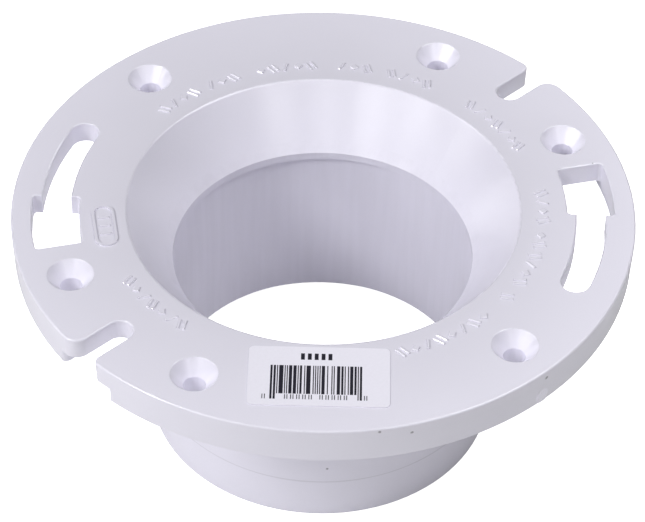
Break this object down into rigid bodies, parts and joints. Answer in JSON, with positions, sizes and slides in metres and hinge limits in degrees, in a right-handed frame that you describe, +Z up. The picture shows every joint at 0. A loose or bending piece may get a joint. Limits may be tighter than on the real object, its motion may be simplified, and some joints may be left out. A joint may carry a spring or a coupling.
{
  "type": "toilet flange",
  "caption": "Round plastic closet flange with a funnel mouth, keyhole bolt slots, rim notches, countersunk screw holes and a pipe tube below, with a printed label.",
  "frame": {"origin": "centre of the bore at the spigot's lower end, which is the centre of the bottom of the box", "axes": "+Z up along the bore, from the spigot to the top face; +X through the middle of one rim notch"},
  "size_m": [0.1774, 0.1778, 0.0754],
  "materials": {
    "pvc": "satin",
    "label": "satin film"
  },
  "bodies": {
    "root": {"flange_body": "pvc", "barcode_label": "label"}
  },
  "joints": []
}
